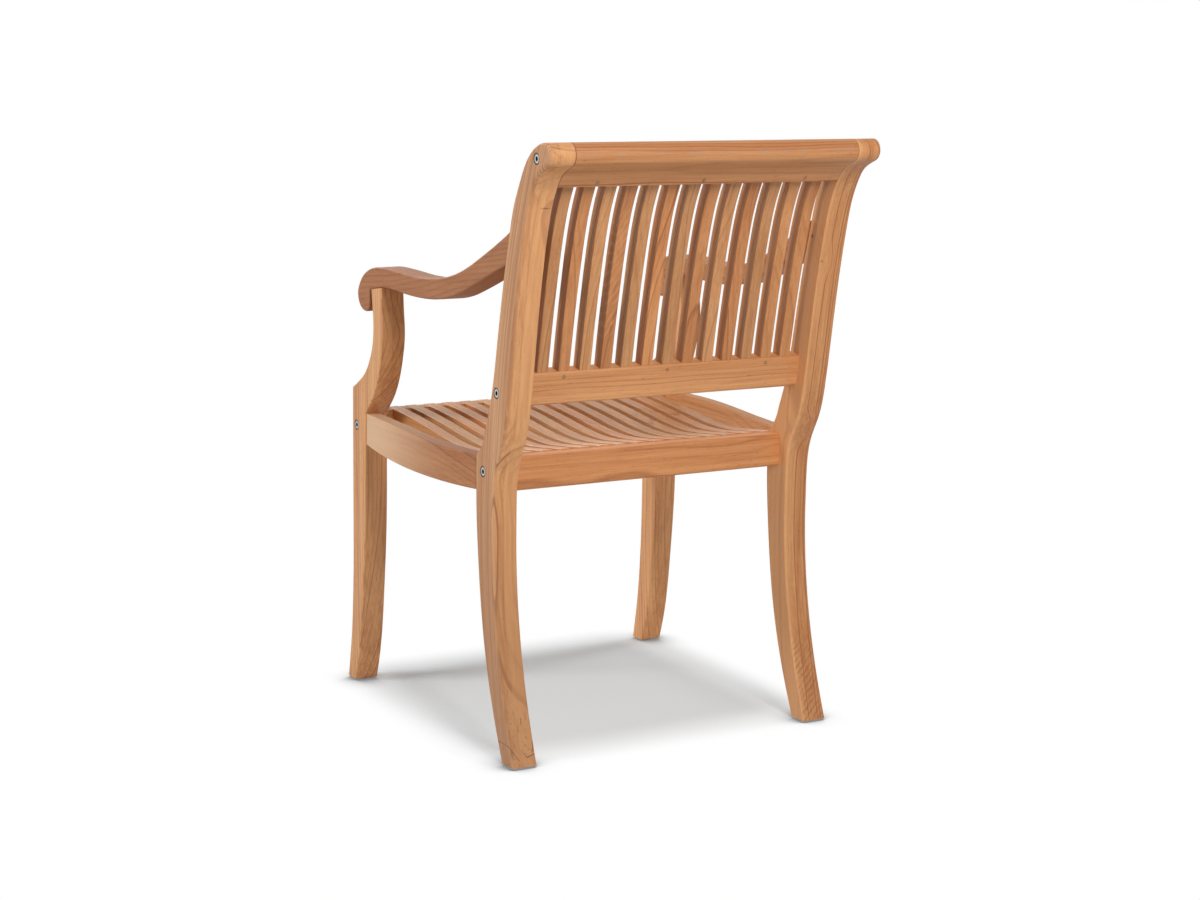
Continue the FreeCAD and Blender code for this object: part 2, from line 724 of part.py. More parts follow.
top_peg_start = 314
top_peg_mouth = 352
lower_peg_heading = (0, cos(lean), -sin(lean))
lower_peg_start = on_lower_rail(17.5, lower_peg_up)

top_rail = timber("top_rail")
top_rail_outline = (
    Pen(*top_rail_front).follow(head_front).arc(roll_rear, roll_end).follow(head_rear).close()
)
top_rail_timber = saw_out(top_rail, "rail_timber", top_rail_outline, "0", RAIL_WIDTH)
ease(
    top_rail,
    "rail_ease",
    top_rail_timber,
    lambda edge: is_across(edge) and edge.BoundBox.ZMax < top_rail_front[1] + 0.1,
    "1.5",
)
mortise = cut_away(top_rail, "slat_mortise", upper_mortise, BACK_SLAT_FIRST, MORTISE)
repeat_across(top_rail, "slat_mortises", mortise, "Sizes.back_slat_count", "Sizes.back_slat_pitch")
end_joints(top_rail, "Sizes.post_inside", TOP_BOLT, TOP_DOWEL, slat_top_heading, 48)
peg_bores(top_rail, "peg_bore", top_peg_mouth, top_peg_height, (0, -1, 0),
          f"{top_peg_mouth - top_peg_start} + 0.2")
pieces.append(top_rail)

lower_rail = timber("lower_back_rail")
rail_high = size("lower_rail_height")
rail_deep = size("lower_rail_thick")
lower_rail_outline = (
    Pen(*on_lower_rail(rail_deep / 2, 0))
    .turn(on_lower_rail(0, 0), on_lower_rail(0, rail_high), 4)
    .turn(on_lower_rail(0, rail_high), on_lower_rail(rail_deep, rail_high), 2)
    .turn(on_lower_rail(rail_deep, rail_high), on_lower_rail(rail_deep, 0), 2)
    .turn(on_lower_rail(rail_deep, 0), on_lower_rail(0, 0), 4)
    .close()
)
saw_out(lower_rail, "rail_timber", lower_rail_outline, "0", RAIL_WIDTH)
mortise = cut_away(lower_rail, "slat_mortise", lower_mortise, BACK_SLAT_FIRST, MORTISE)
repeat_across(lower_rail, "slat_mortises", mortise, "Sizes.back_slat_count", "Sizes.back_slat_pitch")
end_joints(lower_rail, "Sizes.post_inside", LOWER_BOLT, LOWER_DOWEL, (sin(lean), cos(lean)), 21)
peg_bores(
    lower_rail,
    "peg_bore",
    *on_lower_rail(-1, lower_peg_up),
    (0, -lower_peg_heading[1], -lower_peg_heading[2]),
    "18.7",
)
pieces.append(lower_rail)

seat_tongue_low = 436.5
seat_tongue_high = 444.5
seat_tongue_reach = 12
rear_rail = timber("rear_seat_rail")
rear_rail_outline = (
    Pen(rear_rail_front, (rear_rail_low + rear_rail_top) / 2)
    .turn((rear_rail_front, rear_rail_low), (rear_rail_rear, rear_rail_low), 3)
    .turn((rear_rail_rear, rear_rail_low), (rear_rail_rear, rear_rail_top), 4)
    .turn((rear_rail_rear, rear_rail_top), (rear_rail_front, rear_rail_top), 5)
    .line(rear_rail_front, rear_rail_top)
    .close()
)
saw_out(rear_rail, "rail_timber", rear_rail_outline, "0", RAIL_WIDTH)
mortise = cut_away(
    rear_rail,
    "slat_mortise",
    box(rear_rail_front - 1, seat_tongue_low - gap, rear_rail_front + seat_tongue_reach + gap,
        seat_tongue_high + gap),
    SEAT_SLAT_FIRST,
    MORTISE,
)
repeat_across(rear_rail, "slat_mortises", mortise, "Sizes.seat_slat_count", "Sizes.seat_slat_pitch")
end_joints(rear_rail, "Sizes.post_inside", REAR_BOLT, REAR_DOWEL, UP, REAR_BOLT[1] - rear_rail_low + 1)
pieces.append(rear_rail)

seat_notch_floor = 442.3
seat_slat_front = -226.5
front_rail = timber("front_seat_rail")
front_rail_outline = (
    Pen(front_rail_rear, front_rail_top)
    .turn((front_rail_front, front_rail_top), (front_rail_front, front_rail_low), 8)
    .turn((front_rail_front, front_rail_low), (front_rail_rear, front_rail_low), 4)
    .turn((front_rail_rear, front_rail_low), (front_rail_rear, front_rail_top), 4)
    .close()
)
saw_out(front_rail, "rail_timber", front_rail_outline, "0", "2 * Sizes.leg_inside")
notch = cut_away(
    front_rail,
    "slat_notch",
    box(seat_slat_front - gap, seat_notch_floor, front_rail_rear + 1, front_rail_top + 10),
    SEAT_SLAT_FIRST,
    "Sizes.seat_slat_width + 2 * Sizes.joint_gap",
)
repeat_across(front_rail, "slat_notches", notch, "Sizes.seat_slat_count", "Sizes.seat_slat_pitch")
end_joints(front_rail, "Sizes.leg_inside", FRONT_BOLT, FRONT_DOWEL, UP, FRONT_BOLT[1] - front_rail_low + 1)
pieces.append(front_rail)

# Back slats: bent to the line of the posts, tongued into both back rails

slat_foot_rear = on_lower_rail(2, rail_high)
slat_foot_front = on_lower_rail(22.6, rail_high)
back_slat_outline = (
    Pen(*slat_foot_rear)
    .line(*slat_foot_front)
    .curve(
        [(243, 625), (257, 697), (272.9, 769), (287.6, 816), slat_top_front],
        (0.15, 0.99),
        (0.47, 0.88),
    )
    .line(*slat_top_rear)
    .curve(
        [(310.7, 818), (295.8, 771), (279, 700), (264.9, 628), slat_foot_rear],
        (-0.47, -0.88),
        (-0.16, -0.99),
    )
    .strokes
)


def is_slat_edge(edge):
    """The long edges of a slat."""
    return is_side_edge(edge) and max(edge.BoundBox.YLength, edge.BoundBox.ZLength) > 150


slat_numbers = range(1, int(size("back_slat_count")) + 1)
for number in slat_numbers:
    slat = timber(f"back_slat_{number:02d}")
    place = number - 1 - (len(slat_numbers) - 1) // 2
    bind(slat, {"Placement.Base.x": f"{place} * Sizes.back_slat_pitch"})
    slat_timber = saw_out(slat, "slat_timber", back_slat_outline, "0", "Sizes.back_slat_width")
    ease(slat, "slat_ease", slat_timber, is_slat_edge, "Sizes.slat_ease")
    saw_out(slat, "upper_tongue", upper_tongue, "0", TONGUE)
    saw_out(slat, "lower_tongue", lower_tongue, "0", TONGUE)
    if place in PEGGED_SLATS:
        drill(slat, "upper_peg_bore", ("0", top_peg_mouth, top_peg_height), (0, -1, 0), PEG_BORE,
              f"{top_peg_mouth - top_peg_start} + 0.2")
        drill(slat, "lower_peg_bore", ("0", *on_lower_rail(-1, lower_peg_up)),
              (0, -lower_peg_heading[1], -lower_peg_heading[2]), PEG_BORE, "18.7")
    pieces.append(slat)

# Seat slats: dished on top, lapped into notches in the front rail and tongued into the rear rail

seat_depth = size("seat_slat_depth")
SEAT_DISH = [(134, 442), (85, 436.9), (55, 436.2), (20, 437.8), (-50, 444.8), (-97, 449.6), (-144, 453.4)]
seat_rear_height = 448.6
seat_front_height = 456.6
seat_slat_outline = (
    Pen(rear_rail_front, seat_rear_height)
    .curve([*SEAT_DISH, (-190, 456.2), (-219, seat_front_height)], (-1, -0.12), (-1, 0))
    .turn((seat_slat_front, seat_front_height), (seat_slat_front, seat_notch_floor), 5)
    .line(seat_slat_front, seat_notch_floor + 0.1)
    .line(front_rail_rear + 0.1, seat_notch_floor + 0.1)
    .line(front_rail_rear + 0.1, 456 - seat_depth)
    .curve(
        [*[(y, z - seat_depth) for y, z in reversed(SEAT_DISH)],
         (rear_rail_front, seat_rear_height - seat_depth)],
        (1, -0.06),
        (1, 0.12),
    )
    .close()
)
slat_numbers = range(1, int(size("seat_slat_count")) + 1)
for number in slat_numbers:
    slat = timber(f"seat_slat_{number:02d}")
    place = number - 1 - (len(slat_numbers) - 1) // 2
    bind(slat, {"Placement.Base.x": f"{place} * Sizes.seat_slat_pitch"})
    slat_timber = saw_out(slat, "slat_timber", seat_slat_outline, "0", "Sizes.seat_slat_width")
    ease(slat, "slat_ease", slat_timber, is_slat_edge, "Sizes.slat_ease")
    saw_out(
        slat,
        "rear_tongue",
        box(rear_rail_front - 3, seat_tongue_low, rear_rail_front + seat_tongue_reach, seat_tongue_high),
        "0",
        TONGUE,
    )
    pieces.append(slat)

# Frame bolts with flat heads and hexagon sockets, and the barrel nuts that they pull up

bolt = doc.addObject("PartDesign::Body", "frame_bolt")
head_high = size("bolt_head_high")
head_round = size("bolt_head") / 2
shank_round = size("bolt_shank") / 2
tip = head_high + size("bolt_long")
bolt_profile = (
    Pen(-0.4, 0)
    .line(-0.4, head_round - 0.8)
    .line(-1, head_round)
    .line(-head_high, head_round)
    .line(-head_high, shank_round)
    .line(1 - tip, shank_round)
    .line(-tip, shank_round - 1)
    .line(-tip, 0)
    .close()
)
turned = bolt.newObject("PartDesign::Revolution", "bolt_turned")
bolt_sketch = draw(bolt, "bolt_profile", bolt_profile, "XY_Plane", "0")
turned.Profile = bolt_sketch
turned.ReferenceAxis = (bolt_sketch, ["H_Axis"])
turned.Angle = 360
socket_corner = size("socket_wide") / 2 / cos(radians(30))
corners = [
    (socket_corner * cos(radians(60 * step)), socket_corner * sin(radians(60 * step))) for step in range(6)
]
hexagon = Pen(*corners[0])
for corner in corners[1:]:
    hexagon.line(*corner)
cut_away(bolt, "hexagon_socket", hexagon.close(), "0", "2 * 2.6")

nut = doc.addObject("PartDesign::Body", "barrel_nut")
nut_barrel = nut.newObject("PartDesign::AdditiveCylinder", "nut_barrel")
bind(nut_barrel, {
    "Radius": "Sizes.nut_round / 2", "Height": "Sizes.nut_long", "Placement.Base.z": "-Sizes.nut_long / 2",
})
drill(nut, "nut_thread", ("-10", 0, 0), LEFTWARDS, "Sizes.bolt_shank / 2 + 0.05", "20")


def set_out(name, source, placings):
    """Copies of one fastener at each (x formula, y, z, tilt about X), with their mirror images."""
    copies = []
    for number, (x, y, z, tilt) in enumerate(placings, start=1):
        copy = doc.addObject("App::Link", f"{name}_{number}")
        copy.LinkedObject = source
        copy.LinkTransform = False
        copy.Placement = Placement(Vector(0, y + size("seat_datum"), z), Rotation(Vector(1, 0, 0), tilt))
        bind(copy, {"Placement.Base.x": x})
        copies.append(copy)
    left = group(name + "_left", copies)
    return group(name, [left, mirror(left, name + "_right")])


pieces.append(set_out("frame_bolts", bolt, [
    (POST_OUTSIDE, *TOP_BOLT, 0),
    (POST_OUTSIDE, *LOWER_BOLT, 0),
    (POST_OUTSIDE, *REAR_BOLT, 0),
    (LEG_OUTSIDE, *FRONT_BOLT, 0),
]))
POST_NUT = "Sizes.post_inside - Sizes.nut_inset"
pieces.append(set_out("barrel_nuts", nut, [
    (POST_NUT, *TOP_BOLT, -27),
    (POST_NUT, *LOWER_BOLT, -size("lower_rail_lean")),
    (POST_NUT, *REAR_BOLT, 0),
    ("Sizes.leg_inside - Sizes.nut_inset", *FRONT_BOLT, 0),
]))

# Locating dowels, arm pegs and foot glides

dowel = doc.addObject("PartDesign::Body", "locating_dowel")
dowel_rod = dowel.newObject("PartDesign::AdditiveCylinder", "dowel_rod")
dowel_rod.Placement = Placement(Vector(0, 0, 0), Rotation(Vector(0, 0, 1), Vector(1, 0, 0)))
bind(dowel_rod, {
    "Radius": "Sizes.dowel_round / 2",
    "Height": "Sizes.dowel_long",
    "Placement.Base.x": "-Sizes.dowel_long / 2",
})
pieces.append(set_out("locating_dowels", dowel, [
    ("Sizes.post_inside", *TOP_DOWEL, 0),
    ("Sizes.post_inside", *LOWER_DOWEL, 0),
    ("Sizes.post_inside", *REAR_DOWEL, 0),
    ("Sizes.leg_inside", *FRONT_DOWEL, 0),
]))

peg = doc.addObject("PartDesign::Body", "arm_peg")
peg_rod = peg.newObject("PartDesign::AdditiveCylinder", "peg_rod")
peg_rod.Placement = Placement(Vector(0, 0, 0), Rotation(Vector(0, 0, 1), Vector(1, 0, 0)))
bind(peg_rod, {"Radius": "Sizes.peg_round / 2", "Height": "Sizes.arm_peg_long"})
pieces.append(set_out("arm_pegs", peg, [("Sizes.post_inside", *arm_peg, 0)]))

# The slat pegs are driven in from behind and cut off flush with the faces of the two back rails
slat_pegs = timber("slat_pegs")
for number, slat in enumerate(PEGGED_SLATS, start=1):
    for rail, start, heading, length in (
        ("top", (top_peg_start, top_peg_height), (0, 1, 0), top_peg_mouth - top_peg_start),
        ("lower", lower_peg_start, lower_peg_heading, 17.5),
    ):
        peg_rod = slat_pegs.newObject("PartDesign::AdditiveCylinder", f"{rail}_peg_{number}")
        peg_rod.Placement = Placement(Vector(0, *start), Rotation(Vector(0, 0, 1), Vector(*heading)))
        bind(peg_rod, {
            "Placement.Base.x": f"{slat} * Sizes.back_slat_pitch", "Radius": "Sizes.peg_round / 2",
            "Height": f"{length}",
        })
behind_rail = (
    Pen(*roll_end)
    .follow(head_rear)
    .line(top_rail_rear[0], 840)
    .line(420, 840)
    .line(420, roll_end[1])
    .close()
)
cut_away(slat_pegs, "flush_cut", behind_rail, "0", RAIL_WIDTH)
pieces.append(slat_pegs)

for side_name, sign in (("left", ""), ("right", "-")):
    for end_name, middle, place in (("rear", POST_MIDDLE, post_glide), ("front", LEG_MIDDLE, leg_glide)):
        glide = timber(f"foot_glide_{end_name}_{side_name}")
        bind(glide, {
            "Placement.Base.x": f"{sign}({middle})", "Placement.Base.y": f"{place[0]} + Sizes.seat_datum",
        })
        disc = glide.newObject("PartDesign::AdditiveCylinder", "glide_disc")
        bind(disc, {"Radius": "Sizes.glide_round / 2", "Height": "Sizes.foot_lift"})
        ease(glide, "glide_rim", disc, lambda edge: edge.BoundBox.ZMax < 0.1, "1")
        nail = glide.newObject("PartDesign::AdditiveCylinder", "glide_nail")
        bind(nail, {"Radius": "Sizes.glide_pin / 2", "Height": "Sizes.foot_lift + Sizes.glide_pin_long"})
        pieces.append(glide)

# Checks, then one file per piece

doc.recompute()
CUTS = ("PartDesign::Pocket", "PartDesign::SubtractiveCylinder", "PartDesign::LinearPattern")
for thing in doc.Objects:
    if "Invalid" in thing.State or "Error" in thing.State:
        raise RuntimeError(f"{thing.Name} failed to build: {thing.State}")
    if thing.TypeId in CUTS and thing.Shape.Volume > thing.BaseFeature.Shape.Volume - 0.5:
        raise RuntimeError(f"{thing.Name} of {thing.getParentGeoFeatureGroup().Name} cut nothing")

os.makedirs("parts", exist_ok=True)
for piece in pieces:
    shape = piece.Shape
    if shape.isNull() or not shape.isValid():
        raise RuntimeError(f"{piece.Label} has no valid shape")
    shape.exportStep(f"parts/{piece.Label}.step")
print(f"{len(pieces)} pieces written")
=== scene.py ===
# %% [markdown]
# # A slatted teak dining armchair
#
# This lesson dresses a finished CAD model. The solids already have the right shapes, joints and
# places, so nothing here moves or reshapes them. What is left for Blender is what the eye reads as
# real: how the timber was cut from the log, how the steel was turned, and how soft light falls. Sizes are
# in metres, with X to the sitter's left, Y to the back of the chair and Z up.

# %% Load the chair
import math

import bpy
from mathutils import Matrix, Vector


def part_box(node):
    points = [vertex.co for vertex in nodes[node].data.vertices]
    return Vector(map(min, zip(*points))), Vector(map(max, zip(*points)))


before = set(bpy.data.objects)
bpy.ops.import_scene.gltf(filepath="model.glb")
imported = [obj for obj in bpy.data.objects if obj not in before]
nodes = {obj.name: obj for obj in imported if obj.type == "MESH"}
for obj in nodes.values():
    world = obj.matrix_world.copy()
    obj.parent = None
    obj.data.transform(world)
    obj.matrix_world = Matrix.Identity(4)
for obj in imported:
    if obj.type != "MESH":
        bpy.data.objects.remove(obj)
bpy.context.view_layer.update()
scene = bpy.context.scene
scene.view_settings.view_transform = "Standard"


# %% [markdown]
# ## The camera
#
# A photograph of furniture is usually taken with a long lens from standing height. Here the camera's
# place was worked out from the straight edges of the chair itself. We build its axes from three plain
# angles: how far round the chair it stands, how far it looks down, and a slight tilt of the horizon.

# %% Camera
CAMERA_PLACE = (1.7529, 3.0460, 1.0732)
AROUND = math.radians(150.157)
DOWNWARD = math.radians(10.602)
TILT = math.radians(0.933)
IMAGE_WIDTH = 1200
FOCAL_PIXELS = 2274.73
SENSOR_WIDTH = 36

back = Vector((
    math.sin(AROUND) * math.cos(DOWNWARD),
    -math.cos(AROUND) * math.cos(DOWNWARD),
    math.sin(DOWNWARD),
))
right = Vector((math.cos(AROUND), math.sin(AROUND), 0))
up = back.cross(right)
tilted_right = right * math.cos(TILT) + up * math.sin(TILT)
tilted_up = up * math.cos(TILT) - right * math.sin(TILT)
axes = Matrix((tilted_right, tilted_up, back)).transposed()

lens = bpy.data.cameras.new("photo_camera")
lens.sensor_fit = "HORIZONTAL"
lens.sensor_width = SENSOR_WIDTH
lens.lens = FOCAL_PIXELS / IMAGE_WIDTH * SENSOR_WIDTH
camera = bpy.data.objects.new("photo_camera", lens)
camera.matrix_world = Matrix.Translation(CAMERA_PLACE) @ axes.to_4x4()
scene.collection.objects.link(camera)
scene.camera = camera
print("camera with a", round(lens.lens, 1), "mm lens")

# %% [markdown]
# ## Writing shaders as sums
#
# A wood shader is mostly arithmetic on positions. Wiring dozens of Math nodes by hand is slow to read,
# so one small class wraps a node's output and overloads the operators: an expression such as
# `1 - rings * 0.4` then adds the nodes for us.

# %% Signals


class Signal:
    """One output of a shader node, which can be used in sums."""

    def __init__(self, finish, socket):
        self.finish = finish
        self.socket = socket

    def __add__(self, other):
        return self.finish.math("ADD", self, other)

    def __sub__(self, other):
        return self.finish.math("SUBTRACT", self, other)

    def __rsub__(self, other):
        return self.finish.math("SUBTRACT", other, self)

    def __mul__(self, other):
        return self.finish.math("MULTIPLY", self, other)

    def __truediv__(self, other):
        return self.finish.math("DIVIDE", self, other)

    def __pow__(self, other):
        return self.finish.math("POWER", self, other)

    __radd__ = __add__
    __rmul__ = __mul__


print("signals ready")

# %% [markdown]
# ## Finishes
#
# Every node goes through the single `node` method: the type of the node, its settings, then a value or a
# link for each socket. The other methods only put names to the few nodes that come up again and again. A
# finish is the node tree of a material, or of the world, so that both are written in the same way. The
# colour sockets of a Mix node share their names with others, so they are picked by number.

# %% Finishes
MIX_FACTOR, MIX_FIRST, MIX_SECOND, MIX_COLOUR = 0, 6, 7, 2


class Finish:
    """The nodes of a new material, or of a new world."""

    def __init__(self, owner):
        self.owner = owner
        owner.use_nodes = True
        self.tree = owner.node_tree
        self.tree.nodes.clear()

    def node(self, kind, settings=None, sockets=None, output=0):
        """Adds a node: its settings first, then values or links for its sockets."""
        made = self.tree.nodes.new(kind)
        for key, value in (settings or {}).items():
            if key == "stops":
                self.fill_ramp(made.color_ramp, value)
            elif key == "interpolation":
                made.color_ramp.interpolation = value
            else:
                setattr(made, key, value)
        for key, value in (sockets or {}).items():
            if isinstance(value, Signal):
                self.tree.links.new(value.socket, made.inputs[key])
            else:
                made.inputs[key].default_value = value
        return Signal(self, made.outputs[output]) if made.outputs else None

    def fill_ramp(self, ramp, stops):
        """Sets the greys of a ramp, each at its place."""
        while len(ramp.elements) < len(stops):
            ramp.elements.new(1)
        for element, (place, grey) in zip(ramp.elements, stops):
            element.position = place
            element.color = (grey, grey, grey, 1)

    def outputs(self, signal, *names):
        """More outputs of the node that a signal comes from."""
        return [Signal(self, signal.socket.node.outputs[name]) for name in names]

    def math(self, operation, *values, clamp=False):
        """A sum, or another operation on numbers."""
        settings = {"operation": operation, "use_clamp": clamp}
        return self.node("ShaderNodeMath", settings, dict(enumerate(values)))

    def vector(self, operation, *values, output="Vector"):
        """An operation on places."""
        return self.node("ShaderNodeVectorMath", {"operation": operation}, dict(enumerate(values)), output)

    def place(self):
        """Where a point of the piece is in the chair."""
        return self.node("ShaderNodeTexCoord", output="Object")

    def parts(self, vector):
        """The three parts of a vector, as signals."""
        return self.outputs(self.node("ShaderNodeSeparateXYZ", {}, {"Vector": vector}), "X", "Y", "Z")

    def ramp(self, value, low, high):
        """A smooth step from 0 at low to 1 at high, which may be the smaller one."""
        settings = {"interpolation_type": "SMOOTHSTEP"}
        return self.node("ShaderNodeMapRange", settings, {"Value": value, "From Min": low, "From Max": high})

    def noise(self, place, stretch, detail=2, roughness=0.5):
        """Noise whose scale differs along the three directions of a place."""
        scaled = self.vector("MULTIPLY", place, stretch)
        sockets = {"Vector": scaled, "Scale": 1, "Detail": detail, "Roughness": roughness}
        return self.node("ShaderNodeTexNoise", {"noise_dimensions": "3D"}, sockets)

    def mix(self, factor, first, second):
        """A mix of two colours."""
        settings = {"data_type": "RGBA", "blend_type": "MIX", "clamp_factor": True}
        sockets = {MIX_FACTOR: factor, MIX_FIRST: first, MIX_SECOND: second}
        return self.node("ShaderNodeMix", settings, sockets, MIX_COLOUR)

    def bump(self, height, strength, depth):
        """The normals of a surface whose height varies."""
        return self.node("ShaderNodeBump", {}, {"Strength": strength, "Distance": depth, "Height": height})

    def surface(self, shader, kind="ShaderNodeOutputMaterial"):
        """Ends the tree with a shader, and hands back the material or the world."""
        self.node(kind, {}, {"Surface": shader})
        return self.owner


def dress(node, material):
    """Gives a CAD node one material."""
    slots = nodes[node].data.materials
    slots.clear()
    slots.append(material)


print("finishes ready")

# %% [markdown]
# ## Growth rings
#
# Real grain is not a picture glued on: it is a stack of thin cones round the heart of the tree, and a
# board shows wherever its faces cut through them. So the texture is solid. We turn the coordinates so
# that the log lies along the piece, bend it a little where the timber was chosen to follow a curve, push
# the heart some way outside the board, and measure the distance from it. Even steps of that distance are
# the growth rings. A knot swells the count of rings round it, so that the lines bend past it.

# %% Growth rings
RING_WIDTH = 0.0052
ALONG = {"x": (0, math.pi / 2, 0), "y": (-math.pi / 2, 0, 0), "z": (0, 0, 0)}
SWAY_STRETCH = (6, 6, 2.2)
SWAY_DEPTH = 0.018
RIPPLE_STRETCH = (45, 45, 6)
RIPPLE_DEPTH = 0.002


def spot(wood, place, centre, radii):
    """1 in the middle of an oval spot, 0 beyond its rim."""
    offset = wood.vector("SUBTRACT", place, centre)
    distance = wood.vector("LENGTH", wood.vector("DIVIDE", offset, radii), output="Value")
    return wood.ramp(distance, 1, 0)


def lay_log(wood, place, along, heart, lean, bend):
    """A place as seen from the heart of the log: across, deep and down its length."""
    turn = ALONG[along]
    turned = wood.node("ShaderNodeMapping", {"vector_type": "TEXTURE"}, {
        "Vector": place, "Rotation": (turn[0] + lean, turn[1], turn[2]),
    })
    across, deep, down = wood.parts(turned)
    from_bend = down - bend[1]
    return across - heart[0], deep - heart[1] - from_bend * from_bend * bend[0], down


def count_rings(wood, place, log, across, deep, ring, flow, knots):
    """How many rings lie between a place and the heart."""
    sway = wood.noise(log, SWAY_STRETCH) - 0.5
    ripple = wood.noise(log, RIPPLE_STRETCH) - 0.5
    distance = (across * across + deep * deep) ** 0.5
    years = (distance + sway * (SWAY_DEPTH * flow) + ripple * RIPPLE_DEPTH) / ring
    for knot in knots:
        years = years + spot(wood, place, knot["centre"], knot["radii"]) * knot["rings"]
    return years


print("rings", round(RING_WIDTH * 1000, 1), "mm apart")

# %% [markdown]
# ## Teak
#
# A ring is pale where the tree grew fast and ends in a darker line. A random number for each ring makes
# some years dark and others pale, which keeps the figure quiet, as it is in good teak. Bands, streaks,
# fibres, hairs and pores are noise stretched along the log, laid over one another from broad to fine. The
# finest of them also make the surface a little uneven, and duller in places. Noise lies between 0 and 1,
# and a pair of values named an edge says where a layer begins to show and where it shows in full.

# %% Teak colours and grain
PALE_WOOD = (0.660, 0.340, 0.146, 1)
MID_WOOD = (0.490, 0.213, 0.077, 1)
LATE_WOOD = (0.300, 0.113, 0.038, 1)
PORE_WOOD = (0.160, 0.063, 0.024, 1)
RINGS_PER_SEED = 40
RING_GREYS = ((0, 0.3), (0.07, 0.0), (0.6, 0.08), (0.88, 1.0), (1, 0.3))
FAINTEST_RING = 0.12
LINE_STRENGTH = 0.78
GRAIN = {
    "band": dict(stretch=(42, 42, 1.3), detail=3, roughness=0.55),
    "streak": dict(stretch=(190, 190, 4), detail=3, roughness=0.65),
    "fibre": dict(stretch=(520, 520, 14), detail=3, roughness=0.7),
    "hair": dict(stretch=(1700, 1700, 40), detail=2, roughness=0.6),
    "pore": dict(stretch=(900, 900, 90), detail=1, roughness=0.5),
}
BAND_EDGE = (0.3, 0.7)
STREAK_EDGE = (0.32, 0.68)
PORE_EDGE = (0.64, 0.74)
LAYERS = (
    dict(kind="streak", edge=(0.56, 0.8), strength=0.4, colour=LATE_WOOD),
    dict(kind="fibre", edge=(0.42, 0.75), strength=0.3, colour=LATE_WOOD),
    dict(kind="hair", edge=(0.45, 0.8), strength=0.2, colour=PALE_WOOD),
)
HUE_PER_RED = 0.012
SATURATION_PER_RED = 0.1
WOOD_BUMP = 0.2
WOOD_DEPTH = 0.0005
print("grain in", len(GRAIN), "sizes")

# %% Teak


def teak(
    name, along, heart, lean=0.0, bend=(0, 0), tint=0.0, red=0.0, seed=0.0,
    ring=RING_WIDTH, figure=1.0, flow=1.0, dull=0.5, knots=(), marks=(),
):
    """Teak for one board, from a log that runs along an axis with its heart, lean and bend.

    Tint and red set the tone, ring the width of the rings, figure how boldly they show, flow how far they
    wander, and dull how matt the board is. Knots and marks are the board's own.
    """
    wood = Finish(bpy.data.materials.new(name))
    place = wood.place()
    across, deep, down = lay_log(wood, place, along, heart, lean, bend)
    log = wood.node("ShaderNodeCombineXYZ", {}, {"X": across, "Y": deep, "Z": down + seed})
    years = count_rings(wood, place, log, across, deep, ring, flow, knots)
    year = wood.math("FLOOR", years) + RINGS_PER_SEED * seed
    luck = wood.node("ShaderNodeTexWhiteNoise", {"noise_dimensions": "1D"}, {"W": year})
    settings = {"interpolation": "EASE", "stops": RING_GREYS}
    season = wood.node("ShaderNodeValToRGB", settings, {"Fac": wood.math("FRACT", years)})
    line = season * (FAINTEST_RING + (1 - FAINTEST_RING) * luck * luck) * figure

    grain = {kind: wood.noise(log, **cut) for kind, cut in GRAIN.items()}
    fibre, hair = grain["fibre"], grain["hair"]
    band = wood.ramp(grain["band"], *BAND_EDGE)
    streak = wood.ramp(grain["streak"], *STREAK_EDGE)
    pore = wood.ramp(grain["pore"], *PORE_EDGE)
    tone = band * 0.5 + streak * 0.36 + luck * 0.14
    colour = wood.mix((tone - 0.5) * figure + 0.5, PALE_WOOD, MID_WOOD)
    colour = wood.mix(line * LINE_STRENGTH, colour, LATE_WOOD)
    for layer in LAYERS:
        shown = wood.ramp(grain[layer["kind"]], *layer["edge"]) * layer["strength"]
        colour = wood.mix(shown, colour, layer["colour"])
    colour = wood.mix(pore * (0.28 + line * 0.4), colour, PORE_WOOD)
    for mark in marks:
        colour = mark(wood, place, colour)
    toned = wood.node("ShaderNodeHueSaturation", {}, {
        "Hue": 0.5 - HUE_PER_RED * red, "Saturation": 1 + SATURATION_PER_RED * red,
        "Value": 1 + tint, "Color": colour,
    })

    relief = fibre * 0.5 + hair * 0.35 - pore * 0.6 - line * 0.15
    shader = wood.node("ShaderNodeBsdfPrincipled", {}, {
        "Base Color": toned, "Roughness": dull + fibre * 0.16 + pore * 0.12 - line * 0.06,
        "Normal": wood.bump(relief, WOOD_BUMP, WOOD_DEPTH),
    })
    return wood.surface(shader)


print("teak ready")

# %% [markdown]
# ## Marks on the left post
#
# A plain solid texture is too even: real boards have a pale edge of sapwood, a nick, and feet that are
# flecked and cracked a little. Two marks are painted shade: the outer face of the left post is painted
# greyer and darker, where the light from the left falls cooler and weaker, and the post is painted darker
# and browner from the seat down to the floor. Each mark is one small function that takes the board's colour
# and hands back the marked colour, so that any board can carry any of them. A mark reads the place in the
# chair, so it stays put whichever way the log lies. The left post carries the most of them.

# %% Sapwood, stripes and a nick
PAINTED_SIDE_SHADE = (0.310, 0.190, 0.115, 1)
PALER_HALF = (0.261, 0.258)
PALER_WANDER = 0.006
PALER_STRETCH = (0, 0, 7)
OUTER_FACE_EDGE = (0.270, 0.277)
NICK_PLACE = (0.2470, 0.2565, 0.8203)
NICK_SIZE = (0.0115, 0.02, 0.0016)
STRIPE_BOW = 0.36
STRIPE_WAIST = 0.37
STRIPE_STRETCH = (180, 0, 1.2)
STRIPE_EDGE = (0.48, 0.58)


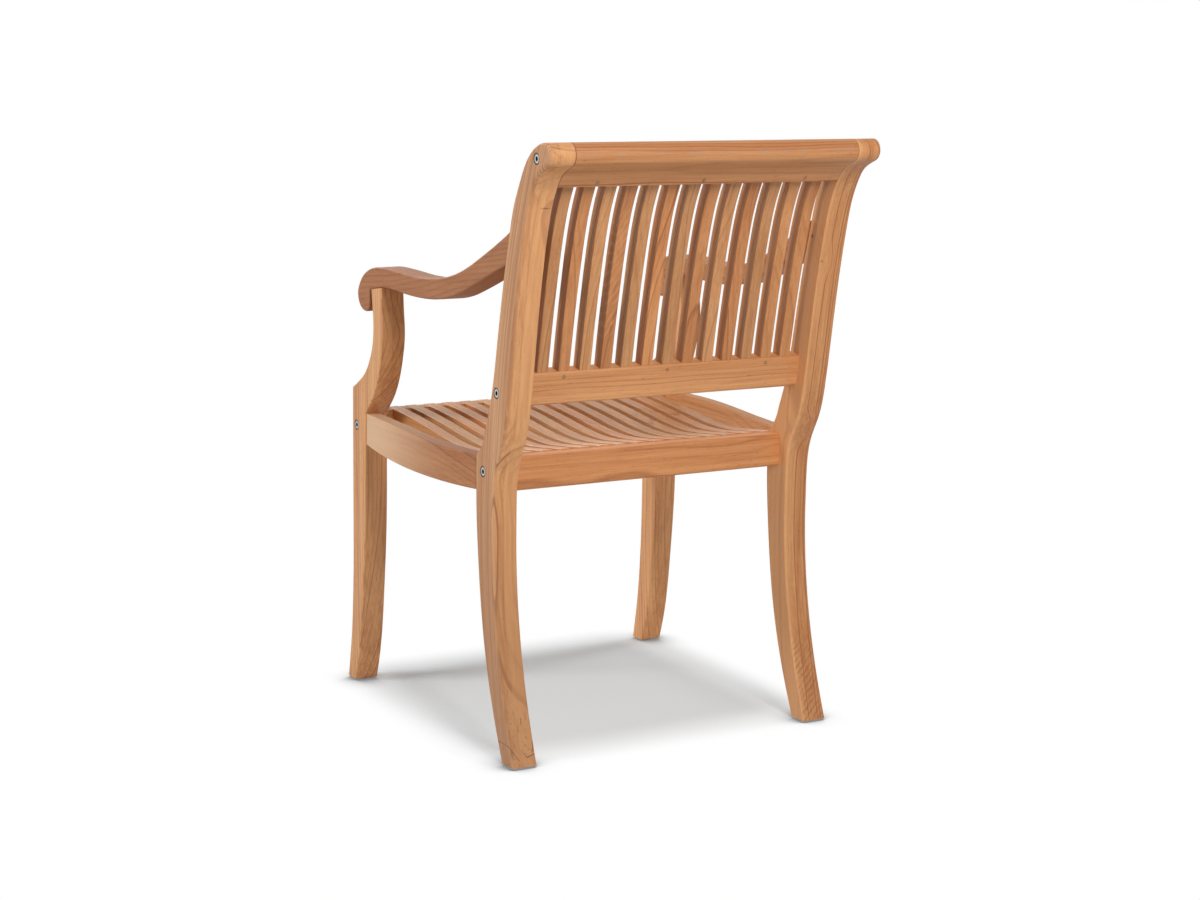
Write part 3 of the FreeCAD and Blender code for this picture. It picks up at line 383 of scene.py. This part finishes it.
def sapwood_and_side_shade(wood, place, colour):
    """The left post's paler inner half, its striped outer face painted greyer and darker as shade, and the
    nick in its back.
    """
    x, y, z = wood.parts(place)
    wander = (wood.noise(place, PALER_STRETCH) - 0.5) * PALER_WANDER
    paler = wood.ramp(x + wander, *PALER_HALF)
    outer_face = wood.ramp(x, *OUTER_FACE_EDGE)
    nick = spot(wood, place, NICK_PLACE, NICK_SIZE)
    from_waist = z - STRIPE_WAIST
    run = wood.node("ShaderNodeCombineXYZ", {}, {"X": y - from_waist * from_waist * STRIPE_BOW, "Z": z})
    stripe = wood.ramp(wood.noise(run, STRIPE_STRETCH), *STRIPE_EDGE)
    # Painted shade: the outer face is greyed and darkened, standing in for the cooler, weaker light on that
    # side.
    darker = wood.mix(outer_face * 0.3, wood.mix(0.12, colour, LATE_WOOD), PAINTED_SIDE_SHADE)
    striped = wood.mix(stripe * outer_face * 0.62, darker, LATE_WOOD)
    return wood.mix(nick, wood.mix(paler * 0.4, striped, PALE_WOOD), PORE_WOOD)


print("left post: sapwood, stripes and a nick")

# %% [markdown]
# ## The shaded, cracked foot
#
# Low down, the left post is browner and flecked, and a few cracks show just above the floor. Cracks could be
# cut out of noise, but noise wanders like worm tracks. A few straight strokes look more like split wood: a
# point is dark where it is near enough to one of them.
# Part of that browning is painted shade: from the seat down to the floor the post is darkened, where less
# light reaches it.

# %% The shaded, cracked foot
LOW_SHADE_BROWN = (0.270, 0.122, 0.048, 1)
LOW_SHADE_HEIGHTS = (0.5, 0.1)
FLECK_HEIGHTS = (0.15, 0.04)
FLECK_STRETCH = (260, 260, 60)
FLECK_EDGE = (0.62, 0.70)
CRACK_CORE = 0.3
FOOT_CRACKS = (
    dict(start=(0.2774, 0.0338), end=(0.2646, 0.0128), width=0.0010),
    dict(start=(0.2760, 0.0300), end=(0.2730, 0.0160), width=0.0008),
    dict(start=(0.2555, 0.0225), end=(0.2503, 0.0160), width=0.0008),
    dict(start=(0.2503, 0.0160), end=(0.2393, 0.0190), width=0.0013),
    dict(start=(0.2389, 0.0354), end=(0.2395, 0.0244), width=0.0012),
    dict(start=(0.2520, 0.0700), end=(0.2525, 0.0618), width=0.0010),
    dict(start=(0.2731, 0.0569), end=(0.2755, 0.0435), width=0.0006),
)


def crack(wood, place, start, end, width):
    """1 along a straight crack on the back of a piece, 0 beside it. Its ends are each an x and a z."""
    origin = (start[0], 0, start[1])
    run = (end[0] - start[0], 0, end[1] - start[1])
    offset = wood.vector("SUBTRACT", wood.vector("MULTIPLY", place, (1, 0, 1)), origin)
    along = wood.vector("DOT_PRODUCT", offset, run, output="Value")
    share = wood.math("DIVIDE", along, run[0] ** 2 + run[2] ** 2, clamp=True)
    reached = wood.node("ShaderNodeVectorMath", {"operation": "SCALE"}, {0: run, "Scale": share})
    gap = wood.vector("DISTANCE", offset, reached, output="Value")
    return wood.ramp(gap, width, CRACK_CORE * width)


def shaded_flecked_foot(wood, place, colour):
    """Painted shade that darkens and browns the left post from the seat down, dark flecks low down, and the
    cracks just above the floor.
    """
    _, _, z = wood.parts(place)
    fleck = wood.ramp(wood.noise(place, FLECK_STRETCH), *FLECK_EDGE) * wood.ramp(z, *FLECK_HEIGHTS)
    # Painted shade: the post darkens and browns from the seat down to the floor.
    shaded_low = wood.mix(wood.ramp(z, *LOW_SHADE_HEIGHTS) * 0.45, colour, LOW_SHADE_BROWN)
    marked = wood.mix(fleck * 0.55, shaded_low, PORE_WOOD)
    for line in FOOT_CRACKS:
        marked = wood.mix(crack(wood, place, **line) * 0.85, marked, PORE_WOOD)
    return marked


print("left post:", len(FOOT_CRACKS), "cracks at the foot")

# %% [markdown]
# ## Marks on the right post
#
# The inner face of the right post is painted paler, as painted light from the lamps on the left that reach
# it over the seat. High on the back is a small knot, a pale eye with a brown core. Low down, the saw met
# interlocked grain and left a patch of slanting ripples. Ripples turn up again on a slat, with other
# numbers, so a
# function makes such marks: a sine of the height, slanted, bent by noise and broken by more noise.

# %% Painted light on the inner face, knot and ripples
INNER_FACE_LIGHT = (0.790, 0.440, 0.200, 1)
POST_INSIDE = 0.2368
POST_OUTSIDE = 0.2776
INNER_FACE_EDGE = (-POST_INSIDE - 0.008, -POST_INSIDE - 0.001)
EYE_PLACE = (-0.2480, 0.2350, 0.7285)
EYE_SIZE = (0.0075, 0.02, 0.0090)
CORE_PLACE = (-0.2410, 0.2350, 0.7265)
CORE_SIZE = (0.0045, 0.02, 0.0032)
WAVE_BEND = 12
WAVE_BEND_STRETCH = (32, 32, 16)
WAVE_BREAK_STRETCH = (90, 90, 60)
WAVE_BREAKS = (0.3, 0.6)
WAVE_CREST = (0.1, 0.95)
END_RIM_SHARE = 0.25
SIDE_RIM = 0.003


def painted_light_inside(wood, place, colour):
    """Painted light: the right post's inner face, painted paler where the lamps on the left light it."""
    x, _, _ = wood.parts(place)
    return wood.mix(wood.ramp(x, *INNER_FACE_EDGE) * 0.5, colour, INNER_FACE_LIGHT)


def post_knot(wood, place, colour):
    """A small knot high on the back of the right post: a pale eye with a brown core beside it."""
    eye = spot(wood, place, EYE_PLACE, EYE_SIZE)
    core = spot(wood, place, CORE_PLACE, CORE_SIZE)
    return wood.mix(core * 0.8, wood.mix(eye * 0.7, colour, PALE_WOOD), LATE_WOOD)


def ripples(slope, turns, low, high, tone, strength, sides=(-1, 1)):
    """A mark of slanting ripples between two heights, where the saw cut across the run of the grain.

    The ripples stop short of the side faces, which are given by their x.
    """

    def mark(wood, place, colour):
        x, _, z = wood.parts(place)
        wave = (z + x * slope) * turns + wood.noise(place, WAVE_BEND_STRETCH) * WAVE_BEND
        crest = wood.ramp(wood.math("SINE", wave), *WAVE_CREST)
        crest = crest * wood.ramp(wood.noise(place, WAVE_BREAK_STRETCH), *WAVE_BREAKS)
        rim = END_RIM_SHARE * (high - low)
        run = wood.ramp(z, low, low + rim) * wood.ramp(z, high, high - rim)
        right, left = sides
        run = run * wood.ramp(x, right, right + SIDE_RIM) * wood.ramp(x, left, left - SIDE_RIM)
        return wood.mix(crest * run * strength, colour, tone)

    return mark


foot_ripples = ripples(
    slope=0.9, turns=640, low=-0.03, high=0.14, tone=LATE_WOOD, strength=0.6,
    sides=(-POST_OUTSIDE, -POST_INSIDE),
)
# The sapwood face printed here is the painted light on the right post's inner face.
print("right post: a sapwood face, a knot and ripples")

# %% [markdown]
# ## Marks on the rails
#
# The rolled rail at the top is glued up from two boards, and a broken grey line of glue shows along its
# back. Where its ends meet the posts, a dark line of painted shade marks the seam. The left side rail is
# painted paler towards the front, as painted light and sheen where the lamps at the front left fall on it.
# That colour is over 1, because the rail's own tint is dark and is laid over it.

# %% Glue line, painted seam shade and painted light at the front
GLUE = (0.34, 0.32, 0.29, 1)
GLUE_HEIGHT = 0.8985
GLUE_FALL = 0.007
GLUE_WANDER = 0.002
GLUE_WANDER_STRETCH = (5, 0, 0)
GLUE_EDGE = (0.0011, 0.0003)
GLUE_BREAKS = (0.4, 0.58)
GLUE_BREAK_STRETCH = (34, 0, 0)
RAIL_BACK = (0.316, 0.322)
SEAM_SHADE_EDGE = (POST_INSIDE - 0.0012, POST_INSIDE - 0.0004)
FRONT_LIGHT_RUN = (0.06, -0.24)
FRONT_LIGHT_COLOUR = (1.19, 0.85, 0.52, 1)


def glue_and_seam_shade(wood, place, colour):
    """A broken grey line of glue along the back of the rolled rail, and painted shade in the seam at each
    end.
    """
    x, y, z = wood.parts(place)
    wander = (wood.noise(place, GLUE_WANDER_STRETCH) - 0.5) * GLUE_WANDER
    off = z - GLUE_HEIGHT + x * GLUE_FALL + wander
    broken = wood.ramp(wood.noise(place, GLUE_BREAK_STRETCH, detail=3), *GLUE_BREAKS)
    thin = wood.ramp(wood.math("ABSOLUTE", off), *GLUE_EDGE) * wood.ramp(y, *RAIL_BACK)
    # Painted shade: a dark line where each end of the rail meets a post.
    seam_shade = wood.ramp(wood.math("ABSOLUTE", x), *SEAM_SHADE_EDGE)
    return wood.mix(seam_shade * 0.7, wood.mix(thin * broken * 0.75, colour, GLUE), PORE_WOOD)


def painted_light_front(wood, place, colour):
    """Painted light and sheen: a rail painted paler towards its front end, where the lamps fall on it."""
    _, y, _ = wood.parts(place)
    # Painted light and sheen: the rail turns paler towards the front, where the lamps fall on it.
    return wood.mix(wood.ramp(y, *FRONT_LIGHT_RUN) * 0.7, colour, FRONT_LIGHT_COLOUR)


print("rails: a glue line and a paler front")

# %% [markdown]
# ## The frame timbers
#
# Each board gets its own heart, lean and tint, since no two came from one plank. A post is sawn from a
# plank whose grain follows the curve only part of the way, so its log is bent by about half of what the
# post is. The rails are straight boards, cut so that the heart lies well off one face.

# %% Posts, legs, arms and rails
LEFT_KNOTS = (dict(centre=(0.305, 0.190, 0.330), radii=(0.080, 0.200, 0.170), rings=3.0),)
RIGHT_KNOTS = (
    dict(centre=(-0.2500, 0.2350, 0.7280), radii=(0.020, 0.035, 0.040), rings=2.0),
    dict(centre=(-0.2560, 0.1850, 0.4580), radii=(0.030, 0.050, 0.045), rings=3.0),
)
LEG_BEND = (0.1, 0.4)
ARM_CUT = dict(along="y", lean=0.12, figure=0.8, flow=1.6)
TIMBER_SEED = 0.37
FRAME_TIMBERS = {
    "rear_post_left": dict(
        along="z", heart=(0.21, -0.05), lean=-0.02, bend=(0.34, 0.38), tint=0.11, ring=0.006,
        figure=2.0, flow=1.2, knots=LEFT_KNOTS, marks=(sapwood_and_side_shade, shaded_flecked_foot),
    ),
    "rear_post_right": dict(
        along="z", heart=(-0.42, 0.20), lean=-0.04, bend=(0.2, 0.45), tint=-0.07, red=0.35,
        figure=1.5, flow=1.3, knots=RIGHT_KNOTS, marks=(painted_light_inside, post_knot, foot_ripples),
    ),
    "front_leg_left": dict(
        along="z", heart=(0.13, -0.40), bend=LEG_BEND, tint=0.02, red=0.1, figure=1.9, flow=0.9,
    ),
    "front_leg_right": dict(along="z", heart=(-0.45, -0.16), bend=LEG_BEND, tint=0.3, figure=1.3),
    "arm_left": dict(heart=(0.14, -0.58), tint=-0.41, red=0.9, **ARM_CUT),
    "arm_right": dict(heart=(-0.43, -0.58), tint=-0.25, red=0.6, **ARM_CUT),
    "side_rail_left": dict(
        along="y", heart=(0.15, -0.50), tint=-0.36, red=0.8, figure=1.2, marks=(painted_light_front,),
    ),
    "side_rail_right": dict(along="y", heart=(-0.45, -0.36), tint=0.35, red=0.1),
    "top_rail": dict(along="x", heart=(-1.02, 0.22), tint=-0.1, red=0.4, figure=1.4, marks=(glue_and_seam_shade,)),
    "lower_back_rail": dict(along="x", heart=(-0.68, 0.09), tint=0.03, red=0.3, flow=1.4),
    "rear_seat_rail": dict(along="x", heart=(-0.40, 0.05), tint=0.03, red=0.5, figure=1.3, flow=1.3),
    "front_seat_rail": dict(along="x", heart=(-0.50, -0.16), tint=0.03),
}
for number, (node, cut) in enumerate(FRAME_TIMBERS.items()):
    dress(node, teak("teak_" + node, seed=TIMBER_SEED * number, **cut))
print("dressed", len(FRAME_TIMBERS), "frame timbers")

# %% [markdown]
# ## The slats
#
# The slats are ripped from offcuts, so neighbours differ in tone, and each is dressed by the same loop
# with its own numbers. Sines of the slat's number stand in for chance: they give the same chair each run.
# The back slats are curved, so their logs lean and bend with them. One of them shows ripples.

# %% Back slats
QUARTER = math.pi / 2
RIPPLED_AT = 0.105
BACK_LEAN = -0.31
BACK_BEND = (0.5, 0.72)
BACK_SEED = 0.53


def vary(number, step, middle, spread, start=0.0):
    """A value about a middle that differs from slat to slat."""
    return middle + spread * math.sin(number * step + start)


chatter = ripples(slope=1.7, turns=430, low=0.58, high=0.85, tone=PALE_WOOD, strength=0.8)
back_slats = sorted(name for name in nodes if name.startswith("back_slat"))
for number, node in enumerate(back_slats):
    low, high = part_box(node)
    middle = (low + high) / 2
    heart = (vary(number, 2.4, middle.x, 0.14, 0.5), vary(number, 1.7, 0.12, 0.1, QUARTER))
    dress(node, teak(
        "teak_" + node, "z", heart, lean=BACK_LEAN, bend=BACK_BEND, seed=BACK_SEED * number, figure=1.2,
        tint=vary(number, 1.9, -0.1, 0.06, 0.6), red=vary(number, 2.9, 0.3, 0.3),
        marks=(chatter,) if low.x < RIPPLED_AT < high.x else (),
    ))
print("dressed", len(back_slats), "back slats")

# %% [markdown]
# ## The seat slats and pegs
#
# The seat slats are dressed in the same way, along the log that lies from front to back. Use has made them
# smoother, so they are less dull and catch more of the light. The pegs and dowels are small and dark: they
# show their end grain, so their log runs along their own axis.

# %% Seat slats and pegs
SEAT_SEED = 0.41
SEAT_DULL = 0.38
PEG_HEART = (0.12, 0.13)
PEG_TINT = -0.4
PEGS_ALONG = {"slat_pegs": "y", "arm_pegs": "x", "locating_dowels": "x"}

seat_slats = sorted(name for name in nodes if name.startswith("seat_slat"))
for number, node in enumerate(seat_slats):
    low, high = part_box(node)
    middle = (low + high) / 2
    heart = (vary(number, 3.1, middle.x, 0.12), vary(number, 2.1, -0.55, -0.05, QUARTER))
    dress(node, teak(
        "teak_" + node, "y", heart, seed=SEAT_SEED * number, figure=0.8, dull=SEAT_DULL,
        tint=vary(number, 2.3, 0.08, 0.06), red=vary(number, 1.3, 0.1, 0.3),
    ))
for node, along in PEGS_ALONG.items():
    dress(node, teak("teak_" + node, along, PEG_HEART, tint=PEG_TINT))
print("dressed", len(seat_slats), "seat slats and", len(PEGS_ALONG), "sets of pegs and dowels")

# %% [markdown]
# ## Steel
#
# The bolt heads were turned on a lathe, so each carries fine rings round its own axis. Its rim, where it
# sits in its recess, and its socket are painted darker, as painted shade. All eight share one material: a
# point takes the smallest of its distances to the four axes, seen from the side, and rings of that distance
# are right on every head.

# %% Steel
BOLT_AXES = ((0.2870, 0.8910), (0.1720, 0.5494), (0.1310, 0.4275), (-0.2885, 0.4310))
FAR_AWAY = 1
BRIGHT_STEEL = (0.70, 0.70, 0.67, 1)
DULL_STEEL = (0.26, 0.26, 0.25, 1)
STEEL_SHADE = (0.03, 0.028, 0.026, 1)
HEAD_RIM_SHADE = (0.0058, 0.0068)
SOCKET_SHADE = (0.0042, 0.003)
TURNING = 7000
CLOUD_STRETCH = (260, 260, 260)
SMALL_BUMP = 0.2
SMALL_DEPTH = 0.0002


def steel(name):
    """Turned steel for the bolts and their nuts."""
    metal = Finish(bpy.data.materials.new(name))
    place = metal.place()
    _, y, z = metal.parts(place)
    radius = FAR_AWAY
    for axis_y, axis_z in BOLT_AXES:
        off_y = y - axis_y
        off_z = z - axis_z
        radius = metal.math("MINIMUM", (off_y * off_y + off_z * off_z) ** 0.5, radius)
    ring = metal.ramp(metal.math("SINE", radius * TURNING), -1, 1)
    cloud = metal.noise(place, CLOUD_STRETCH, detail=3)
    # Painted shade: the rim of each head, where it sits in its recess, and its socket are darkened.
    rim_and_socket_shade = metal.ramp(radius, *HEAD_RIM_SHADE) + metal.ramp(radius, *SOCKET_SHADE)
    colour = metal.mix(rim_and_socket_shade * 0.95, metal.mix(cloud, BRIGHT_STEEL, DULL_STEEL), STEEL_SHADE)
    shader = metal.node("ShaderNodeBsdfPrincipled", {}, {
        "Base Color": colour, "Metallic": 1.0, "Roughness": 0.24 + cloud * 0.3,
        "Normal": metal.bump(ring, SMALL_BUMP, SMALL_DEPTH),
    })
    return metal.surface(shader)


bolt_steel = steel("turned_steel")
for node in ("frame_bolts", "barrel_nuts"):
    dress(node, bolt_steel)
print("dressed the bolts and nuts on", len(BOLT_AXES), "axes across the chair")

# %% [markdown]
# ## Glides
#
# The glides under the feet are moulded plastic: almost black, with a fine grain from the mould, and paler
# and duller where the floor has scuffed it.

# %% Glides
GLIDE_BLACK = (0.022, 0.02, 0.018, 1)
GLIDE_SCUFFED = (0.085, 0.078, 0.07, 1)
SCUFF_EDGE = (0.5, 0.75)
SCUFF_STRETCH = (240, 420, 240)
MOULD_STRETCH = (1400, 1400, 1400)


def moulded(name):
    """Moulded plastic for the glides."""
    plastic = Finish(bpy.data.materials.new(name))
    place = plastic.place()
    grain = plastic.noise(place, MOULD_STRETCH)
    scuff = plastic.ramp(plastic.noise(place, SCUFF_STRETCH, detail=3), *SCUFF_EDGE)
    shader = plastic.node("ShaderNodeBsdfPrincipled", {}, {
        "Base Color": plastic.mix(scuff, GLIDE_BLACK, GLIDE_SCUFFED), "Roughness": 0.5 + scuff * 0.25,
        "Normal": plastic.bump(grain, SMALL_BUMP, SMALL_DEPTH),
    })
    return plastic.surface(shader)


glide_plastic = moulded("moulded_glide")
glides = [node for node in nodes if node.startswith("foot_glide")]
for node in glides:
    dress(node, glide_plastic)
print("dressed", len(glides), "glides")

# %% [markdown]
# ## The floor
#
# The chair stands on a white sweep. The floor is an ordinary pale surface for every ray except those that
# show it: away from the chair, what the camera sees of it is lifted to white, so the page stays clean while
# the chair is lit at a plain level. The shadow under the seat is kept, and an occlusion term paints a dark
# contact shadow round each foot into that white. Rays that metal or glass passes on count as the camera's
# own, so that the bolt heads mirror the same white page.

# %% Floor
FLOOR_SIZE = 30
SHADOW_MIDDLE = (0, -0.08, 0)
SHADOW_CORE = (0.20, 0.19)
SHADOW_FADE = 0.14
TOUCH_REACH = 0.07
TOUCH_SAMPLES = 16
TOUCH_EDGE = (0.45, 0.95)
TOUCH_SHADOW_GREY = (0.25, 0.25, 0.25, 1)
PAPER = (0.74, 0.74, 0.74, 1)
SEEN_PAPER = (0.635, 0.67, 0.685, 1)
WHITE = (1, 1, 1, 1)


def showing(finish):
    """1 for the rays that show the background, 0 for those that only carry light."""
    names = ("Is Camera Ray", "Is Glossy Ray", "Is Transmission Ray")
    seen, glossy, through = finish.outputs(finish.node("ShaderNodeLightPath"), *names)
    return finish.math("MAXIMUM", finish.math("MAXIMUM", seen, glossy), through)


def white_sweep(name):
    """White paper that keeps the chair's shadow."""
    sweep = Finish(bpy.data.materials.new(name))
    offsets = sweep.parts(sweep.vector("SUBTRACT", sweep.place(), SHADOW_MIDDLE))
    over_x, over_y = (
        sweep.math("MAXIMUM", sweep.math("ABSOLUTE", offset) - core, 0)
        for offset, core in zip(offsets, SHADOW_CORE)
    )
    beyond = (over_x * over_x + over_y * over_y) ** 0.5
    shown = showing(sweep)
    paper = sweep.node("ShaderNodeBsdfDiffuse", {}, {"Color": sweep.mix(shown, PAPER, SEEN_PAPER)})
    settings = {"samples": TOUCH_SAMPLES}
    open_air = sweep.node("ShaderNodeAmbientOcclusion", settings, {"Distance": TOUCH_REACH}, "AO")
    # Painted shadow: the white that the camera sees is darkened round each foot by an occlusion term.
    page_with_touch_shadow = sweep.mix(sweep.ramp(open_air, *TOUCH_EDGE), TOUCH_SHADOW_GREY, WHITE)
    glow = sweep.node("ShaderNodeEmission", {}, {"Color": page_with_touch_shadow})
    far = sweep.ramp(beyond, 0, SHADOW_FADE) * shown
    return sweep.surface(sweep.node("ShaderNodeMixShader", {}, {0: far, 1: paper, 2: glow}))


bpy.ops.mesh.primitive_plane_add(size=FLOOR_SIZE)
floor = bpy.context.object
floor.name = "studio_floor"
floor.data.materials.append(white_sweep("white_sweep"))
print("floor", FLOOR_SIZE, "m wide")

# %% [markdown]
# ## The air of the studio
#
# The world works in the same way as the floor. It shows as plain white, and lights the chair only faintly,
# so that the shapes come from the lamps.

# %% Air
AIR_LIGHT = 0.1
AIR_SHOWN = 1.0

air = Finish(bpy.data.worlds.new("studio_air"))
strength = air.node("ShaderNodeMapRange", {}, {
    "Value": showing(air), "To Min": AIR_LIGHT, "To Max": AIR_SHOWN,
})
backdrop = air.node("ShaderNodeBackground", {}, {"Color": WHITE, "Strength": strength})
scene.world = air.surface(backdrop, "ShaderNodeOutputWorld")
print("air lights the chair at", AIR_LIGHT)

# %% [markdown]
# ## Lamps
#
# Large soft lamps stand round the chair, as in a studio for furniture: one behind it, where the camera is,
# one high on the left with a low reflector under it, and weaker ones to the right, in front and above, so
# that no side is left black. All of them point at the middle of the chair.

# %% Lamps
AIM = Vector((0, 0, 0.5))
LAMPS = {
    "rear_softbox": dict(at=(0.2, 2.1, 1.9), size=(0.7, 1.0), power=44, colour=(1, 0.97, 0.93)),
    "left_softbox": dict(at=(2.6, -0.6, 1.9), size=(0.9, 0.9), power=44, colour=(0.94, 0.96, 0.98)),
    "left_reflector": dict(at=(2.6, 0.7, 0.45), size=(0.6, 0.5), power=10.5, colour=(0.92, 0.96, 1)),
    "right_softbox": dict(at=(-2.4, -0.3, 1.35), size=(0.9, 0.9), power=24, colour=(0.96, 0.98, 1)),
    "front_softbox": dict(at=(0.0, -2.8, 1.5), size=(0.9, 0.9), power=22, colour=(1, 1, 1)),
    "top_softbox": dict(at=(0.2, -0.2, 2.5), size=(1.2, 1.2), power=3, colour=(1, 1, 1)),
}
for name, lamp in LAMPS.items():
    light = bpy.data.lights.new(name, "AREA")
    light.shape = "RECTANGLE"
    light.size, light.size_y = lamp["size"]
    light.energy = lamp["power"]
    light.color = lamp["colour"]
    holder = bpy.data.objects.new(name, light)
    holder.location = lamp["at"]
    holder.rotation_euler = (AIM - holder.location).to_track_quat("-Z", "Y").to_euler()
    holder.visible_camera = False
    scene.collection.objects.link(holder)
print("hung", len(LAMPS), "lamps")
